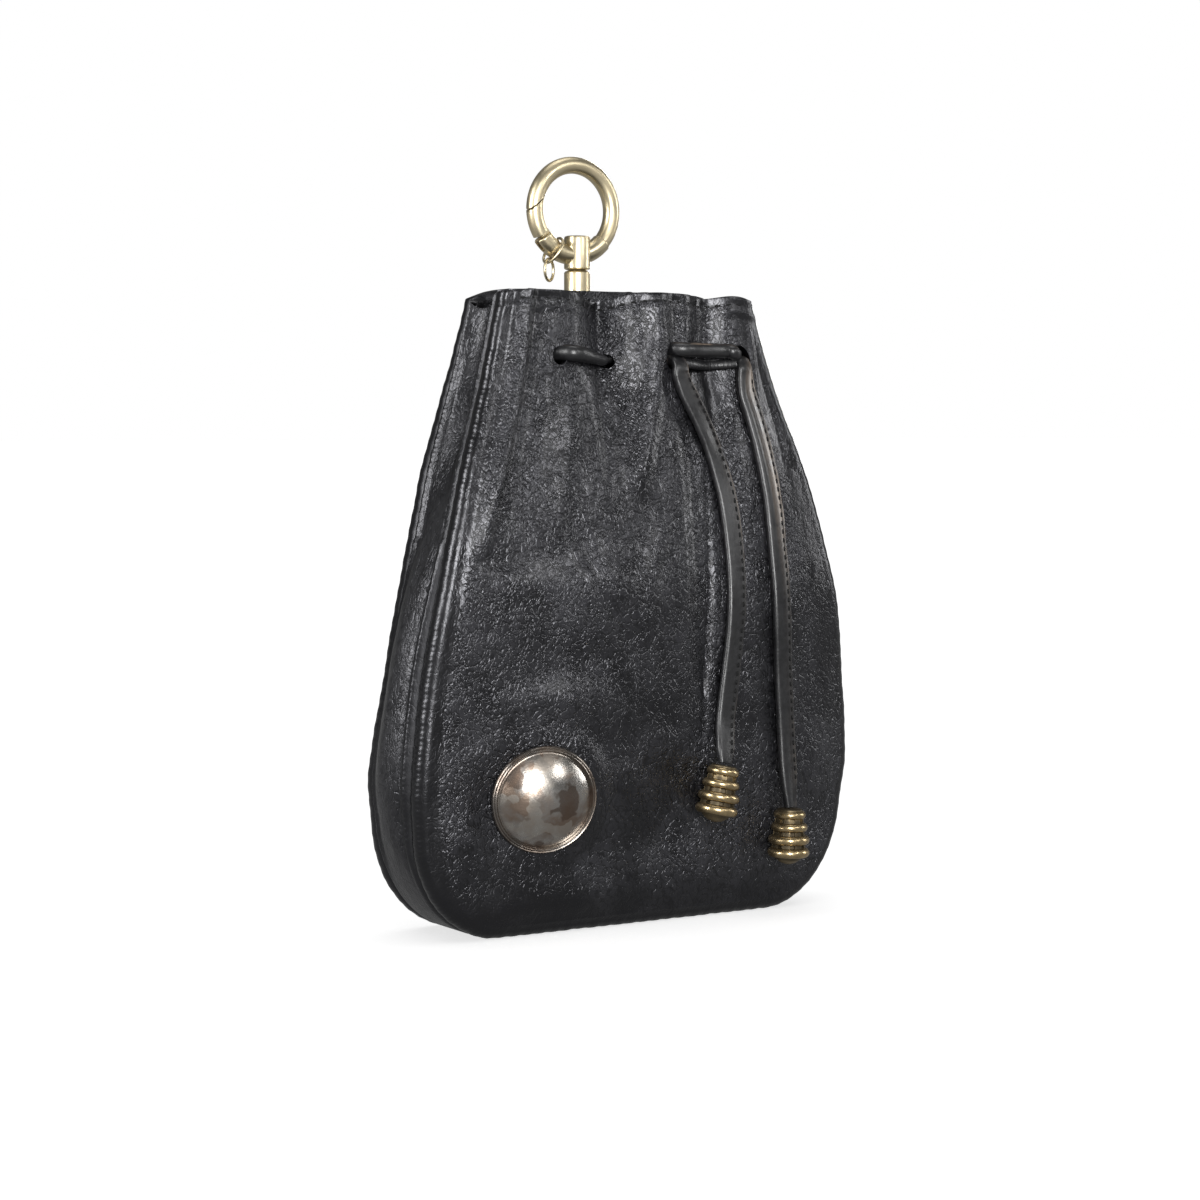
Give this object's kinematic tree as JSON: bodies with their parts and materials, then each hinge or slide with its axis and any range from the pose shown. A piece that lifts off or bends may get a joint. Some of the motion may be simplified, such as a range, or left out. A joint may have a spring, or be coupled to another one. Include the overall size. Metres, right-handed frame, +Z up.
{
  "type": "drawstring pouch bag",
  "caption": "Small flat-bottomed leather pouch with a gathered mouth, drawstring lace with metal end beads, domed concho and a swivel gate ring.",
  "frame": {"origin": "middle of the flattened bottom, on the surface that the bag stands on", "axes": "+Z up through the mouth, -Y out of the front with the laces and the concho, +X to the right seen from the front"},
  "size_m": [0.1482, 0.0568, 0.2156],
  "materials": {
    "leather": "grained black leather, softly waxed",
    "lace": "smooth black lace with bare brown edges",
    "antique_brass": "dark aged brass, bright on the ribs",
    "satin_brass": "pale satin brass",
    "tarnished_silver": "domed silver with brown tarnish",
    "plain_steel": "plain satin steel"
  },
  "bodies": {
    "pouch": {"front_panel": "leather", "back_panel": "leather", "gusset": "leather", "hanger_tab": "leather", "tab_rivet": "plain_steel", "drawstring": "lace", "lace_tail_left": "lace", "lace_tail_right": "lace", "cord_end_left": "antique_brass", "cord_end_right": "antique_brass", "concho": "tarnished_silver", "swivel_stub": "satin_brass"},
    "swivel": {"swivel_head": "satin_brass", "gate_pin": "satin_brass", "jump_ring_upper": "satin_brass", "jump_ring_lower": "satin_brass"},
    "gate": {"ring_gate": "satin_brass"}
  },
  "joints": [
    {"name": "swivel_turn", "type": "hinge", "parent": "pouch", "child": "swivel", "pos_m": [0, 0.0185, 0.1834], "axis": [0, 0, 1], "continuous": true},
    {"name": "gate_swing", "type": "hinge", "parent": "swivel", "child": "gate", "pos_m": [-0.00981, 0.0185, 0.19262], "axis": [0, 1, 0], "range_deg": [0, 28], "stiffness_Nm_per_rad": 0.006}
  ]
}
